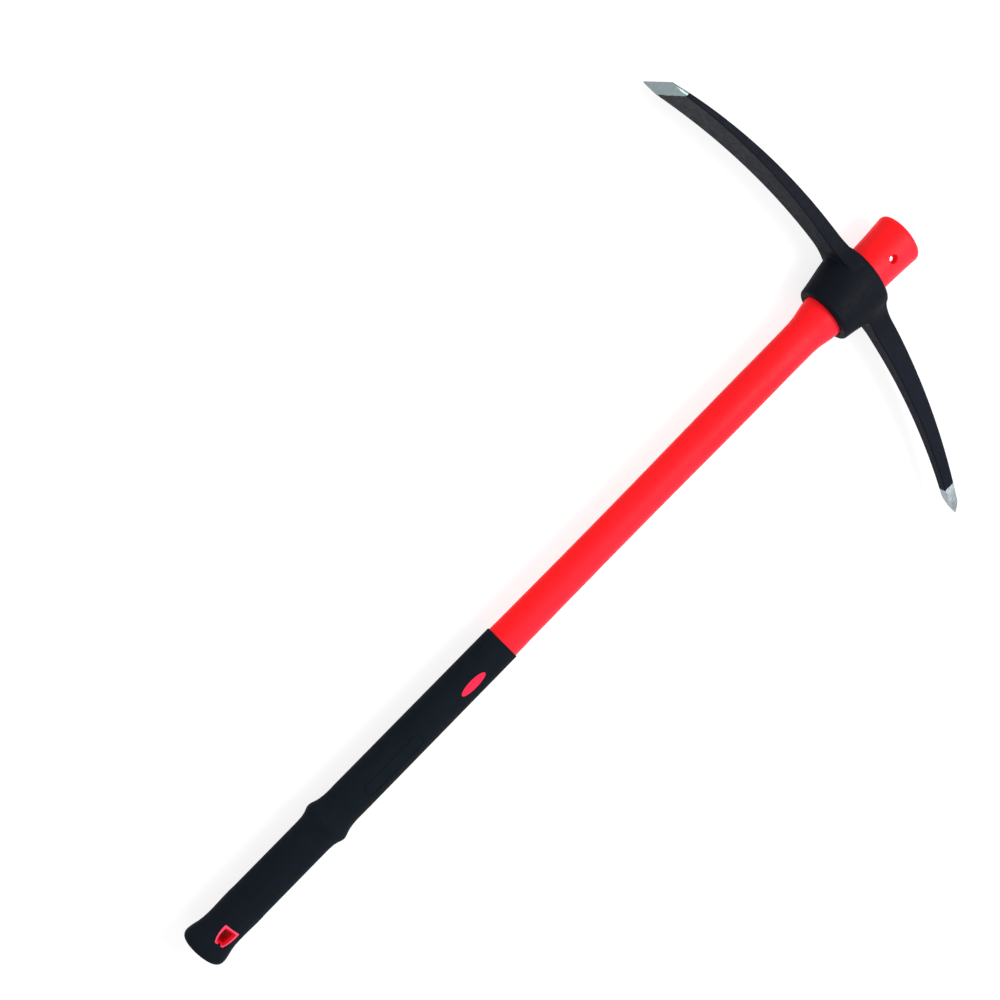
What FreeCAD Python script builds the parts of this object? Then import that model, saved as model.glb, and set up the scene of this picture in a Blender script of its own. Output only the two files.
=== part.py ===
import FreeCAD, Part
import math
import os

# A long-handled pickaxe, lying on its side.
# +X runs along the handle from the butt to the head end.
# +Y is the chisel side of the head and -Y is the point side.
# +Z is up, square to the plane that holds the handle and both arms.
# The origin is the bottom centre of the whole tool's bounding box.
# Every sub-part is built about the handle's axis, with X measured from the butt,
# and is then moved into the tool's frame. Distances along X from the butt are called stations.

# ---- driving dimensions, millimetres ----
handle_length = 905.0
oval_ratio = 0.76  # depth of the handle's oval over its width
chisel_reach = 275.2
point_reach = 281.0
eye_half_depth = 26.0

axis_y = (point_reach - chisel_reach) / 2
axis_z = eye_half_depth
butt_x = -handle_length / 2

# grip, a rubber sleeve over the butt end of the handle
grip_length = 378.0
grip_end_cover = 3.0
grip_edge_radius = 0.5
butt_half_width = 23.2
butt_corner_radius = 5.5
grip_lower_half_width = 20.0
grip_upper_half_width = 19.5
grip_mouth_half_width = 18.8
hand_stop_station = 155.0
hand_stop_half_width = 23.5

# moulded jacket
insert_half_width = 16.4
exposed_half_width = 18.0
shaft_half_width = 17.5
neck_half_width = 18.7
neck_station = 770.0
shoulder_half_width = 23.2
shoulder_station = 797.0
head_end_half_width = 26.9
head_end_corner_radius = 4.5
head_end_trim = 0.1  # the form is made this much too long, then sawn off flat

# fibreglass core
core_half_width = 12.0
core_start = 45.0
core_end = 893.0

# cross pin near the head end, and the recess over each of its ends
pin_station = 877.5
pin_radius = 2.5
pin_edge_radius = 0.4
pin_stand = 0.8  # height of each pin end above the floor of its recess
pin_recess_radius = 4.6
pin_recess_depth = 4.6

# hanging hole in the butt: square towards the head, narrower towards the butt
hole_butt_side = 20.3
hole_head_side = 30.6
hole_head_half_width = 4.3
hole_butt_half_width = 3.0
hole_bow = 0.6
frame_butt_side = 17.7
frame_head_side = 35.4
frame_head_half_width = 8.4
frame_butt_half_width = 5.1
frame_bow = 1.3
frame_corner_radius = 1.2
frame_slope_depth = 3.5
frame_half_width = 20.1
notch_radius = 1.8

# oval window in each cheek of the grip, filled by the jacket
window_station = 333.5
window_length = 29.0
window_width = 9.0
pad_half_width = 19.5

# plain capsule-shaped panel line pressed into one cheek of the grip
panel_start = 199.0
panel_end = 269.0
panel_width = 13.0
panel_line_width = 0.9
panel_line_depth = 0.45

# eye of the head
eye_bottom = 799.0
eye_top = 856.0
eye_bore_bottom_half_width = 24.15
eye_bore_top_half_width = 24.6
seat_clearance = 0.05
eye_top_radius = 5.0
eye_bottom_radius = 2.5
chisel_root_radius = 2.0
point_root_radius = 5.0

# arms of the head: each long face is level with its crown station as far out as its start,
# and beyond that it follows an arc of the given radius, falling towards the butt
chisel_top = {"crown": 851.9, "start": 0.0, "radius": 705.0}
chisel_under = {"crown": 836.4, "start": 30.0, "radius": 703.0}
chisel_bevel_start = 258.8
chisel_edge_thickness = 0.8
chisel_top_corner = 1.8
chisel_under_corner = 1.0
point_top = {"crown": 852.1, "start": 0.0, "radius": 800.0}
point_under = {"crown": 827.8, "start": 40.0, "radius": 772.0}
point_ground_start = 248.0
point_ground_half_depth = 5.0
point_tip_station = 797.3
point_tip_half_size = 0.5
# how far each side of the tip bows out half way along it
point_tip_top_bow = 2.6
point_tip_under_bow = 1.6
point_tip_cheek_bow = 1.3
point_top_corner = 3.0
point_under_corner = 1.3

# half depth of each arm against its reach from the handle's axis
chisel_plan = [
    (10.0, 22.4),
    (20.0, 21.8),
    (28.0, 19.7),
    (36.0, 16.6),
    (44.0, 14.2),
    (52.0, 13.0),
    (62.0, 13.1),
    (100.0, 15.3),
    (150.0, 18.6),
    (200.0, 21.9),
    (240.0, 24.5),
    (chisel_reach, 25.4),
]
point_plan = [
    (10.0, 22.4),
    (20.0, 20.8),
    (28.0, 17.6),
    (36.0, 13.2),
    (44.0, 9.9),
    (52.0, 8.3),
    (62.0, 8.0),
    (100.0, 7.4),
    (150.0, 6.5),
    (200.0, 5.7),
    (240.0, 5.1),
    (point_reach + 5, 4.8),
]

X_AXIS = FreeCAD.Vector(1, 0, 0)
Z_AXIS = FreeCAD.Vector(0, 0, 1)
AXIS_START = FreeCAD.Vector(0, 0, 0)
CLEAR_OF_HANDLE = 40.0  # a height above or below the handle's axis that is outside every part


# ---- helpers ----
def save(shape, node):
    """Move a finished sub-part into the tool's frame and write it out."""
    placed = shape.copy()
    placed.translate(FreeCAD.Vector(butt_x, axis_y, axis_z))
    placed.exportStep("parts/" + node + ".step")
    print(node, "valid", placed.isValid(), "solids", len(placed.Solids), "volume", round(placed.Volume))


def line(first, second):
    return Part.LineSegment(FreeCAD.Vector(*first), FreeCAD.Vector(*second)).toShape()


def arc(first, middle, last):
    return Part.Arc(FreeCAD.Vector(*first), FreeCAD.Vector(*middle), FreeCAD.Vector(*last)).toShape()


def smooth_curve(points):
    """A smooth curve in the handle's plane through (station, half width) points."""
    curve = Part.BSplineCurve()
    curve.interpolate([FreeCAD.Vector(station, half_width, 0) for station, half_width in points])
    return curve.toShape()


def closed_face(edges):
    return Part.Face(Part.Wire(Part.__sortEdges__(edges)))


def turned_oval(edges, first, last):
    """Turn an outline about the handle's axis, then flatten it to the handle's oval."""
    closing = line((last, 0, 0), (first, 0, 0))
    turned = closed_face(edges + [closing]).revolve(AXIS_START, X_AXIS, 360)
    flatten = FreeCAD.Matrix()
    flatten.A33 = oval_ratio
    return turned.transformGeometry(flatten)


def oval_bar(half_width, start, end):
    """A straight bar with the handle's oval section between two stations."""
    outline = Part.Ellipse(
        FreeCAD.Vector(start, half_width, 0),
        FreeCAD.Vector(start, 0, half_width * oval_ratio),
        FreeCAD.Vector(start, 0, 0),
    ).toShape()
    return Part.Face(Part.Wire([outline])).extrude(X_AXIS * (end - start))


def corner_depth(radius):
    """How far the middle of a quarter-round corner lies inside each of its two sides."""
    return radius * (1 - math.sqrt(0.5))


# ---- grip ----
def grip_form():
    """The grip as a turned sleeve: a flared butt, a raised hand stop and a slim upper stretch."""
    lower = grip_lower_half_width
    upper = grip_upper_half_width
    stop = hand_stop_station
    corner = butt_corner_radius
    inset = corner_depth(corner)
    flare = [
        (corner, butt_half_width),
        (corner + 3.5, butt_half_width - 0.2),
        (corner + 12.5, lower + 0.8),
        (corner + 22.5, lower - 0.2),
        (corner + 34.5, lower - 0.1),
        (corner + 54.5, lower),
    ]
    stop_curve = [
        (stop - 20, lower),
        (stop - 12, lower + 0.3),
        (stop - 6, lower + 1.5),
        (stop - 1.5, hand_stop_half_width - 0.3),
        (stop + 1.5, hand_stop_half_width - 0.1),
        (stop + 5, lower + 2.2),
        (stop + 11, upper + 0.9),
        (stop + 18, upper),
        (stop + 28, upper),
    ]
    shoulder = (grip_length - grip_edge_radius, grip_mouth_half_width + grip_edge_radius, 0)
    mouth = (grip_length, grip_mouth_half_width, 0)
    edges = [
        line((0, 0, 0), (0, butt_half_width - corner, 0)),
        arc(
            (0, butt_half_width - corner, 0),
            (inset, butt_half_width - inset, 0),
            (corner, butt_half_width, 0),
        ),
        smooth_curve(flare),
        line((corner + 54.5, lower, 0), (stop - 20, lower, 0)),
        smooth_curve(stop_curve),
        line((stop + 28, upper, 0), shoulder),
        line(shoulder, mouth),
        line(mouth, (grip_length, insert_half_width, 0)),
        line((grip_length, insert_half_width, 0), (grip_end_cover, insert_half_width, 0)),
        line((grip_end_cover, insert_half_width, 0), (grip_end_cover, 0, 0)),
    ]
    return turned_oval(edges, 0, grip_end_cover)


def capsule(start, end, half_width, low, high):
    """A round-ended bar between two stations, from one height to another."""
    first = start + half_width
    last = end - half_width
    edges = [
        line((first, half_width, low), (last, half_width, low)),
        arc((last, half_width, low), (end, 0, low), (last, -half_width, low)),
        line((last, -half_width, low), (first, -half_width, low)),
        arc((first, -half_width, low), (start, 0, low), (first, half_width, low)),
    ]
    return closed_face(edges).extrude(Z_AXIS * (high - low))


def panel_line():
    """A shallow capsule-shaped groove on the upper cheek."""
    floor = oval_bar(grip_upper_half_width - panel_line_depth, panel_start - 1, panel_end + 1)
    outer = capsule(panel_start, panel_end, panel_width / 2, 0, CLEAR_OF_HANDLE)
    inner = capsule(
        panel_start + panel_line_width,
        panel_end - panel_line_width,
        panel_width / 2 - panel_line_width,
        0,
        CLEAR_OF_HANDLE,
    )
    return outer.cut(inner).cut(floor)


def rubber_grip():
    return grip_form().cut([panel_line(), frame_block(), window_bar()])


# ---- jacket ----
def bore_half_width(station):
    """Half width of the eye's oval bore, which widens slightly towards the head end."""
    part_way = (station - eye_bottom) / (eye_top - eye_bottom)
    return eye_bore_bottom_half_width + part_way * (eye_bore_top_half_width - eye_bore_bottom_half_width)


def exposed_form():
    """The jacket's outer form beyond the grip: the shaft, the seat and the flared end."""
    shaft = [
        (grip_length, exposed_half_width),
        (grip_length + 62, shaft_half_width + 0.1),
        (grip_length + 122, shaft_half_width),
        (grip_length + 192, shaft_half_width + 0.2),
        (grip_length + 262, shaft_half_width + 0.8),
        (neck_station - 70, neck_half_width - 0.1),
        (neck_station - 10, neck_half_width),
        (neck_station, neck_half_width + 0.1),
    ]
    shoulder = [
        (neck_station, neck_half_width + 0.1),
        (neck_station + 6, neck_half_width + 0.7),
        (neck_station + 14, neck_half_width + 2.2),
        (neck_station + 21, neck_half_width + 3.7),
        (shoulder_station, shoulder_half_width),
        (shoulder_station + 8, shoulder_half_width + 0.25),
    ]
    seat = bore_half_width(eye_top) - seat_clearance
    corner = head_end_corner_radius
    inset = corner_depth(corner)
    form_end = handle_length + head_end_trim
    flare_end = form_end - corner
    flare = [
        (eye_top, seat),
        (eye_top + 13, seat + 0.4),
        (eye_top + 28, seat + 1.1),
        (flare_end, head_end_half_width),
    ]
    edges = [
        line((grip_length, 0, 0), (grip_length, exposed_half_width, 0)),
        smooth_curve(shaft),
        smooth_curve(shoulder),
        line((shoulder_station + 8, shoulder_half_width + 0.25, 0), (eye_top, seat, 0)),
        smooth_curve(flare),
        arc(
            (flare_end, head_end_half_width, 0),
            (form_end - inset, head_end_half_width - inset, 0),
            (form_end, head_end_half_width - corner, 0),
        ),
        line((form_end, head_end_half_width - corner, 0), (form_end, 0, 0)),
    ]
    return turned_oval(edges, grip_length, form_end).cut(beyond_handle())


def beyond_handle():
    """A box whose near side is the handle's flat head end."""
    far = CLEAR_OF_HANDLE
    return Part.makeBox(far, 2 * far, 2 * far, FreeCAD.Vector(handle_length, -far, -far))


def shield_wire(butt_side, head_side, butt_half, head_half, bow, level):
    """The hanging hole's shape: straight towards the head, two bowed sides, narrower at the butt."""
    middle = (butt_side + head_side) / 2
    side = (butt_half + head_half) / 2 + bow
    return Part.Wire(
        [
            line((head_side, -head_half, level), (head_side, head_half, level)),
            arc((head_side, head_half, level), (middle, side, level), (butt_side, butt_half, level)),
            line((butt_side, butt_half, level), (butt_side, -butt_half, level)),
            arc((butt_side, -butt_half, level), (middle, -side, level), (head_side, -head_half, level)),
        ]
    )


def frame_wire(level):
    return shield_wire(
        frame_butt_side,
        frame_head_side,
        frame_butt_half_width,
        frame_head_half_width,
        frame_bow,
        level,
    )


def hole_wire(level):
    return shield_wire(
        hole_butt_side,
        hole_head_side,
        hole_butt_half_width,
        hole_head_half_width,
        hole_bow,
        level,
    )


def vertical_edges(shape):
    """The straight edges that stand up along Z."""
    upright = []
    for edge in shape.Edges:
        if isinstance(edge.Curve, Part.Line) and abs(edge.tangentAt(edge.FirstParameter).z) > 0.99:
            upright.append(edge)
    return upright


def frame_block():
    """A straight block with the outline of the hanging hole's frame, notched at the butt side."""
    block = Part.Face(frame_wire(-CLEAR_OF_HANDLE)).extrude(Z_AXIS * 2 * CLEAR_OF_HANDLE)
    block = block.makeFillet(frame_corner_radius, vertical_edges(block))
    notch = Part.makeCylinder(
        notch_radius,
        2 * CLEAR_OF_HANDLE,
        FreeCAD.Vector(frame_butt_side, 0, -CLEAR_OF_HANDLE),
    )
    return block.cut(notch)


def hanging_hole():
    """The through hole, with sides that slope out to the frame's outer edge at each cheek."""
    through = Part.Face(hole_wire(-CLEAR_OF_HANDLE)).extrude(Z_AXIS * 2 * CLEAR_OF_HANDLE)
    surface = (grip_lower_half_width - 0.2) * oval_ratio
    slope = Part.makeLoft([hole_wire(surface - frame_slope_depth), sloped_wire(surface + 1)], True, True)
    return through.fuse([slope, slope.mirror(AXIS_START, Z_AXIS)])


def sloped_wire(level):
    """The sloping sides' outer outline, just inside the frame's own outline."""
    rim = 0.7
    return shield_wire(
        frame_butt_side + rim,
        frame_head_side - rim,
        frame_butt_half_width - rim,
        frame_head_half_width - rim,
        frame_bow,
        level,
    )


def window_bar():
    """A straight bar with the outline of the grip's two oval windows."""
    outline = Part.Ellipse(
        FreeCAD.Vector(window_station + window_length / 2, 0, -CLEAR_OF_HANDLE),
        FreeCAD.Vector(window_station, window_width / 2, -CLEAR_OF_HANDLE),
        FreeCAD.Vector(window_station, 0, -CLEAR_OF_HANDLE),
    ).toShape()
    return Part.Face(Part.Wire([outline])).extrude(Z_AXIS * 2 * CLEAR_OF_HANDLE)


def solid_insert():
    """The stretch of jacket inside the grip, with the parts of it that reach the grip's surface."""
    frame = frame_block().common(oval_bar(frame_half_width, grip_end_cover, core_start))
    pads = window_bar().common(oval_bar(pad_half_width, panel_end, grip_length))
    return oval_bar(insert_half_width, grip_end_cover, grip_length).fuse([frame, pads])


def pin_recess():
    """The round recess over each end of the cross pin, right through the handle's width."""
    half_depth = bore_half_width(eye_top) * oval_ratio
    recess = Part.makeCylinder(
        pin_recess_radius,
        CLEAR_OF_HANDLE,
        FreeCAD.Vector(pin_station, 0, half_depth - pin_recess_depth),
    )
    return recess.fuse(recess.mirror(AXIS_START, Z_AXIS))


def handle_jacket():
    insert = solid_insert().cut([hanging_hole(), core_bar()])
    exposed = exposed_form().cut([pin_recess(), core_bar(), cross_pin()])
    return insert.fuse(exposed)


# ---- core and pin ----
def core_bar():
    """The oval rod that fills the middle of the handle."""
    return oval_bar(core_half_width, core_start, core_end)


def cross_pin():
    """The steel pin through jacket and core, standing a little above the floor of each recess."""
    half_length = bore_half_width(eye_top) * oval_ratio - pin_recess_depth + pin_stand
    pin = Part.makeCylinder(
        pin_radius,
        2 * half_length,
        FreeCAD.Vector(pin_station, 0, -half_length),
    )
    ends = [edge for edge in pin.Edges if abs(edge.BoundBox.ZLength) < 0.001]
    return pin.makeFillet(pin_edge_radius, ends)


def fibreglass_core():
    return core_bar().cut(cross_pin())


# ---- head ----
def eye_body():
    """The collar round the handle: oval, widest over the arms, rounded at both ends."""
    levels = [
        (eye_bottom, 30.9, 25.3),
        (eye_bottom + 13, 33.5, 25.8),
        (eye_bottom + 27, 37.0, eye_half_depth),
        (eye_bottom + 41, 39.0, eye_half_depth),
        (eye_top, 35.0, 24.6),
    ]
    rings = []
    for station, half_width, half_depth in levels:
        ring = Part.Ellipse(
            FreeCAD.Vector(station, half_width, 0),
            FreeCAD.Vector(station, 0, half_depth),
            FreeCAD.Vector(station, 0, 0),
        )
        rings.append(Part.Wire([ring.toShape()]))
    body = Part.makeLoft(rings, True, False)
    top = [edge for edge in body.Edges if edge.BoundBox.XMin > eye_top - 0.01]
    bottom = [edge for edge in body.Edges if edge.BoundBox.XMax < eye_bottom + 0.01]
    return body.makeFillet(eye_top_radius, top).makeFillet(eye_bottom_radius, bottom)


def eye_bore():
    """The oval bore that the handle passes through, slightly wider towards the head end."""
    below = eye_bottom - 5
    above = eye_top + 5
    edges = [
        line((below, 0, 0), (below, bore_half_width(below), 0)),
        line((below, bore_half_width(below), 0), (above, bore_half_width(above), 0)),
        line((above, bore_half_width(above), 0), (above, 0, 0)),
    ]
    return turned_oval(edges, below, above)


def face_station(long_face, reach):
    """Station of one of an arm's long faces at a given reach from the handle's axis."""
    beyond = max(reach - long_face["start"], 0.0)
    radius = long_face["radius"]
    return long_face["crown"] - (radius - math.sqrt(radius * radius - beyond * beyond))


def face_edges(long_face, side, reach):
    """The edges of an arm's side view along one of its long faces."""
    start = long_face["start"]
    middle = (start + reach) / 2
    low = -CLEAR_OF_HANDLE
    edges = [
        arc(
            (long_face["crown"], side * start, low),
            (face_station(long_face, middle), side * middle, low),
            (face_station(long_face, reach), side * reach, low),
        )
    ]
    if start > 0:
        edges.append(line((long_face["crown"], 0, low), (long_face["crown"], side * start, low)))
    return edges


def side_block(top, under, side, reach):
    """An arm's side view, made as deep as the space between both ends of its extrusion."""
    low = -CLEAR_OF_HANDLE
    root = line((top["crown"], 0, low), (under["crown"], 0, low))
    end = line(
        (face_station(top, reach), side * reach, low),
        (face_station(under, reach), side * reach, low),
    )
    edges = face_edges(top, side, reach) + face_edges(under, side, reach) + [root, end]
    return closed_face(edges).extrude(Z_AXIS * 2 * CLEAR_OF_HANDLE)


def plan_block(plan, side):
    """An arm seen along the handle, made longer along X than any arm."""
    low = eye_bottom - 2 * CLEAR_OF_HANDLE
    edges = []
    for cheek in (1, -1):
        curve = Part.BSplineCurve()
        curve.interpolate([FreeCAD.Vector(low, side * reach, cheek * half) for reach, half in plan])
        edges.append(curve.toShape())
    for reach, half in (plan[0], plan[-1]):
        edges.append(line((low, side * reach, half), (low, side * reach, -half)))
    return closed_face(edges).extrude(X_AXIS * 4 * CLEAR_OF_HANDLE)


def long_edges(shape, top):
    """The two long corners of an arm's top face, or of its under face."""
    corners = [edge for edge in shape.Edges if edge.Length > chisel_reach / 2]
    corners.sort(key=lambda edge: edge.CenterOfMass.x)
    return corners[-2:] if top else corners[:2]


def chisel_arm():
    """The curved arm that spreads to a wide chisel, with its cutting edge ground from below."""
    arm = side_block(chisel_top, chisel_under, 1, chisel_reach).common(plan_block(chisel_plan, 1))
    arm = arm.makeFillet(chisel_under_corner, long_edges(arm, False))
    arm = arm.makeFillet(chisel_top_corner, long_edges(arm, True))
    edge_station = face_station(chisel_top, chisel_reach) - chisel_edge_thickness
    bevel_station = face_station(chisel_under, chisel_bevel_start)
    below = eye_bottom - CLEAR_OF_HANDLE
    low = -CLEAR_OF_HANDLE
    ground_away = closed_face(
        [
            line((bevel_station, chisel_bevel_start, low), (edge_station, chisel_reach, low)),
            line((edge_station, chisel_reach, low), (edge_station, chisel_reach + 1, low)),
            line((edge_station, chisel_reach + 1, low), (below, chisel_reach + 1, low)),
            line((below, chisel_reach + 1, low), (bevel_station, chisel_bevel_start, low)),
        ]
    ).extrude(Z_AXIS * 2 * CLEAR_OF_HANDLE)
    return arm.cut(ground_away)


def tip_outline(to_point, from_sizes, tip_sizes, far_sizes, bows):
    """Outline of the space that the ground tip keeps: open towards the handle, bowed to the tip."""
    start = point_ground_start
    middle = (start + point_reach) / 2
    edges = []
    for from_size, tip_size, far_size, bow in zip(from_sizes, tip_sizes, far_sizes, bows):
        mid_size = (from_size + tip_size) / 2 + bow
        edges.append(line(to_point(far_size, 0), to_point(far_size, start)))
        edges.append(line(to_point(far_size, start), to_point(from_size, start)))
        edges.append(
            arc(to_point(from_size, start), to_point(mid_size, middle), to_point(tip_size, point_reach))
        )
    edges.append(line(to_point(tip_sizes[0], point_reach), to_point(tip_sizes[1], point_reach)))
    edges.append(line(to_point(far_sizes[0], 0), to_point(far_sizes[1], 0)))
    return closed_face(edges)


def tip_space():
    """The four-sided bowed tip, carried back past its start so that it only trims the arm's end."""
    far = CLEAR_OF_HANDLE
    side_view = tip_outline(
        lambda size, reach: (size, -reach, -far),
        (face_station(point_top, point_ground_start), face_station(point_under, point_ground_start)),
        (point_tip_station + point_tip_half_size, point_tip_station - point_tip_half_size),
        (eye_top + far, eye_bottom - far),
        (point_tip_top_bow, -point_tip_under_bow),
    ).extrude(Z_AXIS * 2 * far)
    end_view = tip_outline(
        lambda size, reach: (eye_bottom - 2 * far, -reach, size),
        (point_ground_half_depth, -point_ground_half_depth),
        (point_tip_half_size, -point_tip_half_size),
        (far, -far),
        (point_tip_cheek_bow, -point_tip_cheek_bow),
    ).extrude(X_AXIS * 4 * far)
    return side_view.common(end_view)


def point_arm():
    """The slim curved arm that narrows to a four-sided ground tip."""
    reach = point_plan[-1][0]
    arm = side_block(point_top, point_under, -1, reach).common(plan_block(point_plan, -1))
    arm = arm.makeFillet(point_under_corner, long_edges(arm, False))
    arm = arm.makeFillet(point_top_corner, long_edges(arm, True))
    return arm.common(tip_space())


def lies_on(shape, edge):
    middle = Part.Vertex(edge.valueAt((edge.FirstParameter + edge.LastParameter) / 2))
    return shape.Shells[0].distToShape(middle)[0] < 0.02


def pick_head():
    eye = eye_body()
    arms = [(chisel_arm(), chisel_root_radius), (point_arm(), point_root_radius)]
    head = eye.fuse([arm for arm, radius in arms])
    for arm, radius in arms:
        seam = [edge for edge in head.Edges if lies_on(eye, edge) and lies_on(arm, edge)]
        head = head.makeFillet(radius, seam)
    return head.cut(eye_bore())


# ---- build ----
def build():
    os.makedirs("parts", exist_ok=True)
    save(pick_head(), "pick_head")
    save(handle_jacket(), "handle_jacket")
    save(rubber_grip(), "rubber_grip")
    save(fibreglass_core(), "fibreglass_core")
    save(cross_pin(), "head_end_pin")


build()
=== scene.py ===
import bpy
import math
from mathutils import Matrix, Vector

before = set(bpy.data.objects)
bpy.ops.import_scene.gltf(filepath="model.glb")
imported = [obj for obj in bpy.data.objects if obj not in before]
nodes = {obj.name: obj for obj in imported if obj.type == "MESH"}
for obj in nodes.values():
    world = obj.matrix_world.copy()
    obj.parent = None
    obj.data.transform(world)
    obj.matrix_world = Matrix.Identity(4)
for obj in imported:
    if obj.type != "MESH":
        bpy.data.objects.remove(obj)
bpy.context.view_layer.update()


# ---- node helpers ----
class Nodes:
    """A short way to write a material's node tree."""

    def __init__(self, name):
        self.material = bpy.data.materials.new(name)
        self.material.use_nodes = True
        self.tree = self.material.node_tree
        self.tree.nodes.clear()
        self.shader = self.add("ShaderNodeBsdfPrincipled")
        output = self.add("ShaderNodeOutputMaterial")
        self.tree.links.new(self.shader.outputs["BSDF"], output.inputs["Surface"])
        self.place = self.add("ShaderNodeTexCoord").outputs["Object"]

    def add(self, kind, **settings):
        node = self.tree.nodes.new(kind)
        for key, value in settings.items():
            setattr(node, key, value)
        return node

    def feed(self, socket, value):
        if isinstance(value, bpy.types.NodeSocket):
            self.tree.links.new(value, socket)
        else:
            socket.default_value = value

    def math(self, operation, *values):
        node = self.add("ShaderNodeMath", operation=operation)
        for socket, value in zip(node.inputs, values):
            self.feed(socket, value)
        return node.outputs[0]

    def noise(self, scale, detail=4.0, roughness=0.6, vector=None):
        node = self.add("ShaderNodeTexNoise")
        self.feed(node.inputs["Vector"], vector or self.place)
        node.inputs["Scale"].default_value = scale
        node.inputs["Detail"].default_value = detail
        node.inputs["Roughness"].default_value = roughness
        return node.outputs["Fac"]

    def stretch(self, along, across, turn=(0.0, 0.0, 0.0)):
        """Coordinates drawn out so that a noise of scale 1 runs in lines along the turned X axis."""
        node = self.add("ShaderNodeMapping", vector_type="TEXTURE")
        self.feed(node.inputs["Vector"], self.place)
        node.inputs["Rotation"].default_value = turn
        node.inputs["Scale"].default_value = (along, across, across)
        return node.outputs["Vector"]

    def oval_radius(self):
        """Half width of the handle's oval that passes through the place."""
        wide = self.math("SUBTRACT", self.axis("Y"), AXIS_Y)
        deep = self.math("DIVIDE", self.math("SUBTRACT", self.axis("Z"), AXIS_Z), OVAL_RATIO)
        squares = self.math("ADD", self.math("MULTIPLY", wide, wide), self.math("MULTIPLY", deep, deep))
        return self.math("SQRT", squares)

    def axis(self, letter):
        node = self.add("ShaderNodeSeparateXYZ")
        self.feed(node.inputs[0], self.place)
        return node.outputs[letter]

    def ramp(self, value, low, high, out_low=0.0, out_high=1.0):
        node = self.add("ShaderNodeMapRange")
        for name, number in (
            ("Value", value),
            ("From Min", low),
            ("From Max", high),
            ("To Min", out_low),
            ("To Max", out_high),
        ):
            self.feed(node.inputs[name], number)
        return node.outputs["Result"]

    def mix(self, share, first, second):
        node = self.add("ShaderNodeMix", data_type="RGBA")
        self.feed(node.inputs["Factor"], share)
        self.feed(node.inputs["A"], first)
        self.feed(node.inputs["B"], second)
        return node.outputs["Result"]

    def blend(self, share, first, second):
        """Mix two numbers."""
        node = self.add("ShaderNodeMix", data_type="FLOAT")
        self.feed(node.inputs["Factor"], share)
        self.feed(node.inputs["A"], first)
        self.feed(node.inputs["B"], second)
        return node.outputs["Result"]

    def bump(self, height, strength, distance):
        node = self.add("ShaderNodeBump")
        self.feed(node.inputs["Height"], height)
        node.inputs["Strength"].default_value = strength
        node.inputs["Distance"].default_value = distance
        self.tree.links.new(node.outputs["Normal"], self.shader.inputs["Normal"])

    def set(self, name, value):
        self.feed(self.shader.inputs[name], value)


# ---- places on the object, in metres ----
AXIS_Y = 0.0029  # the handle's axis
AXIS_Z = 0.026
OVAL_RATIO = 0.76  # depth of the handle's oval over its width
GRIP_MOUTH_X = -0.0750  # the jacket shows as pads and as a frame on the butt's side of this
FRAME_X = -0.4000  # the hanging hole's frame lies on the butt's side of this
TINT_EDGE = 0.001  # width of the change between two tints
HOLE_WALL_TOP = 0.0180  # half widths of the oval between which painted shade darkens the hole's walls
HOLE_WALL_DEEP = 0.0150
RIM_INSIDE = 0.0196  # half widths of the oval between which a painted highlight brightens the frame's rim
RIM_OUTSIDE = 0.0200
CHISEL_BARE = 0.2588  # reach beyond which the chisel is bare ground steel
TIP_BARE = 0.2480
PAINT_WANDER = 0.0006  # how far the paint's edge wanders
PAINT_EDGE = (-0.0002, 0.0003)  # where the paint's edge starts and ends, about the reach given above


def rgb(red, green, blue):
    return (red, green, blue, 1.0)


def red_plastic():
    n = Nodes("red_plastic")
    # painted light and shade across the handle's width: a painted highlight makes the point side
    # pinker, painted shade makes the chisel side deeper
    painted_side_light = n.ramp(n.axis("Y"), AXIS_Y - 0.010, AXIS_Y + 0.016)
    colour = n.mix(painted_side_light, rgb(1.0, 0.021, 0.043), rgb(1.0, 0.009, 0.013))
    # a slightly deeper stretch below the neck, with soft ends
    place_x = n.axis("X")
    deeper = n.math("MULTIPLY", n.ramp(place_x, 0.165, 0.185), n.ramp(place_x, 0.300, 0.280))
    colour = n.mix(n.math("MULTIPLY", deeper, 0.35), colour, rgb(0.93, 0.008, 0.014))
    # handling marks and cloudiness
    cloud = n.ramp(n.noise(26.0, 5.0, 0.65), 0.35, 0.70)
    colour = n.mix(n.math("MULTIPLY", cloud, 0.30), colour, rgb(0.97, 0.014, 0.020))
    scuff = n.ramp(n.noise(1.0, 3.0, 0.6, n.stretch(0.03, 0.0011)), 0.68, 0.78)
    colour = n.mix(n.math("MULTIPLY", scuff, 0.22), colour, rgb(1.0, 0.055, 0.065))
    # the pads showing through the grip are pinker
    pads = n.ramp(place_x, GRIP_MOUTH_X, GRIP_MOUTH_X - TINT_EDGE)
    colour = n.mix(pads, colour, rgb(0.92, 0.022, 0.070))
    # the hanging hole's frame is a deeper red, with painted shade inside the hole and a painted pink
    # highlight along its rim
    butt = n.ramp(place_x, FRAME_X, FRAME_X - TINT_EDGE)
    radius = n.oval_radius()
    colour = n.mix(butt, colour, rgb(0.82, 0.007, 0.028))
    # painted shade on the walls inside the hanging hole
    deep = n.math("MULTIPLY", butt, n.ramp(radius, HOLE_WALL_TOP, HOLE_WALL_DEEP))
    colour = n.mix(deep, colour, rgb(0.60, 0.002, 0.006))
    # painted highlight along the frame's rim
    rim_highlight = n.math("MULTIPLY", butt, n.ramp(radius, RIM_INSIDE, RIM_OUTSIDE))
    colour = n.mix(n.math("MULTIPLY", rim_highlight, 0.7), colour, rgb(1.0, 0.10, 0.20))
    n.set("Base Color", colour)
    n.set("Roughness", n.ramp(n.noise(190.0), 0.3, 0.7, 0.40, 0.52))
    n.set("Specular IOR Level", 0.09)
    grain = n.noise(1100.0, 2.0)
    dents = n.noise(60.0, 2.0)
    n.bump(n.math("ADD", grain, n.math("MULTIPLY", dents, 1.6)), 0.10, 0.0004)
    return n.material


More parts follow.
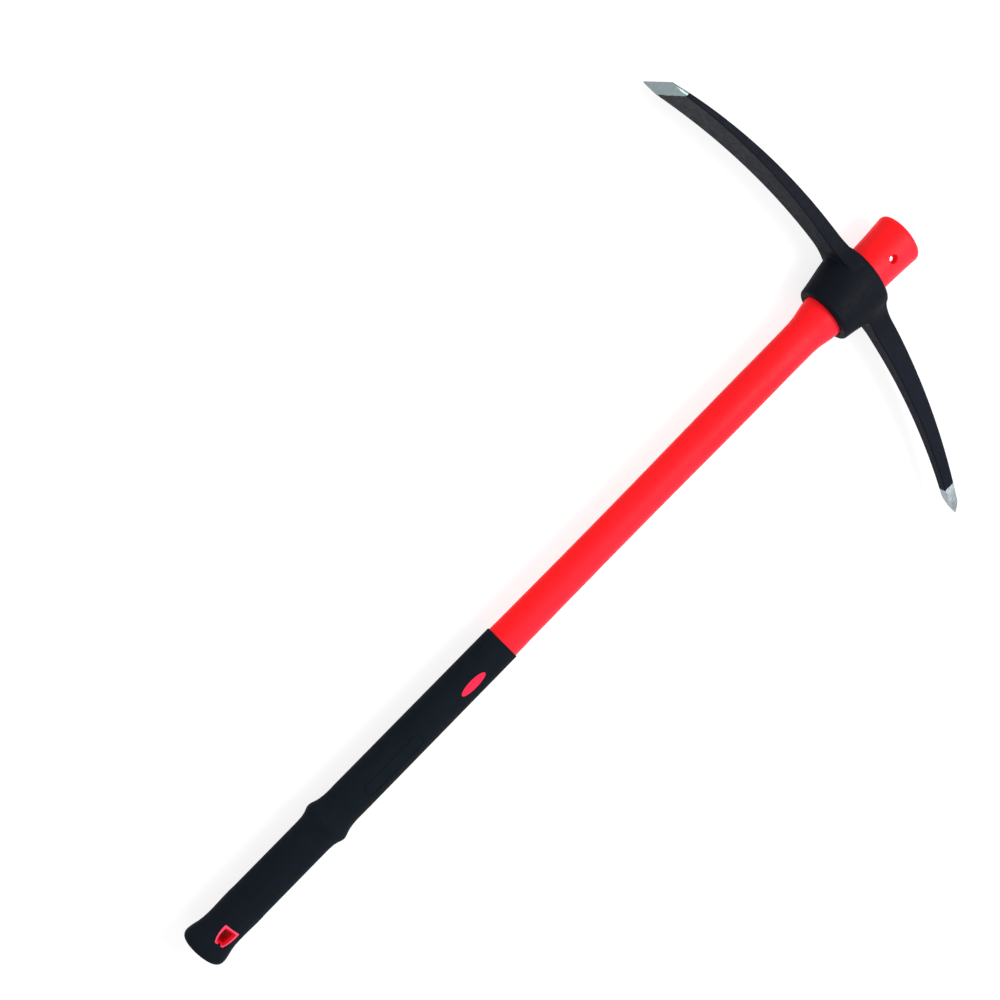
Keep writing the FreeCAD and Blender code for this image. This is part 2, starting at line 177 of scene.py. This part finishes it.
def black_rubber():
    n = Nodes("black_rubber")
    cloud = n.noise(34.0, 5.0, 0.65)
    colour = n.mix(cloud, rgb(0.0038, 0.0066, 0.0105), rgb(0.0068, 0.0104, 0.0155))
    rub = n.ramp(n.noise(1.0, 4.0, 0.6, n.stretch(0.05, 0.002)), 0.60, 0.74)
    colour = n.mix(n.math("MULTIPLY", rub, 0.4), colour, rgb(0.012, 0.017, 0.024))
    n.set("Base Color", colour)
    n.set("Roughness", n.ramp(n.noise(150.0), 0.3, 0.7, 0.62, 0.80))
    n.set("Specular IOR Level", 0.05)
    pores = n.noise(1700.0, 2.0)
    ripple = n.noise(240.0, 3.0)
    n.bump(n.math("ADD", pores, n.math("MULTIPLY", ripple, 0.8)), 0.25, 0.0004)
    return n.material


def past_paint(n, reach, bare_from):
    """1 where the reach is past the paint's edge and 0 under the paint."""
    return n.ramp(reach, bare_from + PAINT_EDGE[0], bare_from + PAINT_EDGE[1])


def grinding(n, turn):
    """Fine straight scratches left by a grinding wheel."""
    coarse = n.noise(1.0, 2.0, 0.5, n.stretch(0.018, 0.0012, turn))
    fine = n.noise(1.0, 2.0, 0.5, n.stretch(0.004, 0.0006, turn))
    return n.math("MULTIPLY", n.math("ADD", coarse, fine), 0.5)


def black_steel():
    n = Nodes("black_steel")
    # paint; the colour is made a little darker by the eye than on the arms
    cloud = n.noise(28.0, 5.0, 0.65)
    paint = n.mix(cloud, rgb(0.0052, 0.0068, 0.0120), rgb(0.0086, 0.0108, 0.0175))
    offset = n.math("SUBTRACT", n.axis("Y"), AXIS_Y)
    near_eye = n.ramp(n.math("ABSOLUTE", offset), 0.085, 0.035)
    paint = n.mix(n.math("MULTIPLY", near_eye, 0.6), paint, rgb(0.0048, 0.0056, 0.0092))
    speck = n.ramp(n.noise(900.0, 2.0), 0.74, 0.80)
    paint = n.mix(n.math("MULTIPLY", speck, 0.35), paint, rgb(0.025, 0.029, 0.037))
    # bare steel at both ends, with a paint edge that is not quite straight
    wander = n.ramp(n.noise(160.0, 3.0), 0.3, 0.7, -PAINT_WANDER, PAINT_WANDER)
    chisel = past_paint(n, n.math("ADD", offset, wander), CHISEL_BARE)
    tip = past_paint(n, n.math("SUBTRACT", wander, offset), TIP_BARE)
    bare = n.math("MAXIMUM", chisel, tip)
    marks = grinding(n, (0.0, 0.0, math.radians(38)))
    chisel_steel = n.mix(n.ramp(marks, 0.38, 0.62), rgb(0.115, 0.165, 0.175), rgb(0.30, 0.39, 0.41))
    tip_steel = n.mix(n.ramp(marks, 0.38, 0.62), rgb(0.20, 0.235, 0.255), rgb(0.44, 0.49, 0.52))
    steel = n.mix(chisel, tip_steel, chisel_steel)
    n.set("Base Color", n.mix(bare, paint, steel))
    n.set("Metallic", n.math("MULTIPLY", bare, 0.85))
    paint_rough = n.ramp(n.noise(170.0), 0.3, 0.7, 0.44, 0.60)
    steel_rough = n.ramp(marks, 0.35, 0.65, 0.34, 0.50)
    n.set("Roughness", n.blend(bare, paint_rough, steel_rough))
    n.set("Specular IOR Level", n.blend(bare, 0.04, 0.5))
    height = n.blend(bare, n.noise(300.0, 4.0), marks)
    n.bump(height, 0.22, 0.0005)
    return n.material


def fibreglass():
    n = Nodes("fibreglass")
    strands = n.noise(1.0, 3.0, 0.5, n.stretch(0.08, 0.0006))
    n.set("Base Color", n.mix(strands, rgb(0.58, 0.52, 0.30), rgb(0.76, 0.71, 0.47)))
    n.set("Roughness", n.ramp(n.noise(120.0), 0.3, 0.7, 0.5, 0.7))
    n.bump(strands, 0.2, 0.0003)
    return n.material


def bright_steel():
    n = Nodes("bright_steel")
    n.set("Base Color", n.mix(n.noise(500.0), rgb(0.34, 0.34, 0.36), rgb(0.52, 0.51, 0.54)))
    n.set("Roughness", n.ramp(n.noise(700.0), 0.3, 0.7, 0.42, 0.56))
    n.set("Metallic", 1.0)
    n.bump(n.noise(900.0, 2.0), 0.15, 0.0003)
    return n.material


def dress(obj, material):
    obj.data.materials.clear()
    obj.data.materials.append(material)


dress(nodes["pick_head"], black_steel())
dress(nodes["handle_jacket"], red_plastic())
dress(nodes["rubber_grip"], black_rubber())
dress(nodes["fibreglass_core"], fibreglass())
dress(nodes["head_end_pin"], bright_steel())


# ---- floor, light and camera ----
FLOOR_SIZE = 30.0
FLOOR_GLOW = 0.82  # keeps the floor pale, and the shadows and red reflections on it faint
SKY_STRENGTH = 0.82
KEY_PLACE = (1.1, -0.65, 1.9)
KEY_SIZE = 1.0
KEY_POWER = 32
CAMERA_PLACE = (-0.07409, 0.65666, 1.04391)
CAMERA_RIGHT = (0.70220, -0.60021, 0.38298)
CAMERA_UP = (0.70816, 0.64443, -0.28847)
SENSOR_WIDTH = 36.0
LENS_TO_SENSOR = 1.33659  # focal length over sensor width


def make_floor():
    bpy.ops.mesh.primitive_plane_add(size=FLOOR_SIZE, location=(0, 0, 0))
    floor = bpy.context.object
    floor.name = "floor"
    n = Nodes("floor")
    n.set("Base Color", n.mix(n.noise(2.0), rgb(0.22, 0.22, 0.22), rgb(0.24, 0.24, 0.24)))
    n.set("Roughness", 0.9)
    n.set("Specular IOR Level", 0.1)
    n.set("Emission Color", rgb(1, 1, 1))
    n.set("Emission Strength", FLOOR_GLOW)
    dress(floor, n.material)


def make_world():
    world = bpy.data.worlds.new("studio")
    bpy.context.scene.world = world
    world.use_nodes = True
    background = world.node_tree.nodes["Background"]
    background.inputs["Color"].default_value = rgb(1, 1, 1)
    background.inputs["Strength"].default_value = SKY_STRENGTH


def make_area(name, place, target, size, power):
    light = bpy.data.lights.new(name, "AREA")
    light.size = size
    light.energy = power
    obj = bpy.data.objects.new(name, light)
    obj.location = place
    obj.rotation_euler = (Vector(target) - Vector(place)).to_track_quat("-Z", "Y").to_euler()
    bpy.context.scene.collection.objects.link(obj)


def make_camera():
    right = Vector(CAMERA_RIGHT).normalized()
    up = Vector(CAMERA_UP).normalized()
    back = right.cross(up).normalized()
    camera = bpy.data.cameras.new("camera")
    camera.sensor_width = SENSOR_WIDTH
    camera.lens = SENSOR_WIDTH * LENS_TO_SENSOR
    obj = bpy.data.objects.new("camera", camera)
    turn = Matrix((right, up, back)).transposed()
    obj.matrix_world = Matrix.Translation(CAMERA_PLACE) @ turn.to_4x4()
    bpy.context.scene.collection.objects.link(obj)
    bpy.context.scene.camera = obj


make_floor()
make_world()
make_area("key", KEY_PLACE, (0, 0, 0), KEY_SIZE, KEY_POWER)
make_camera()
bpy.context.scene.view_settings.view_transform = "Standard"
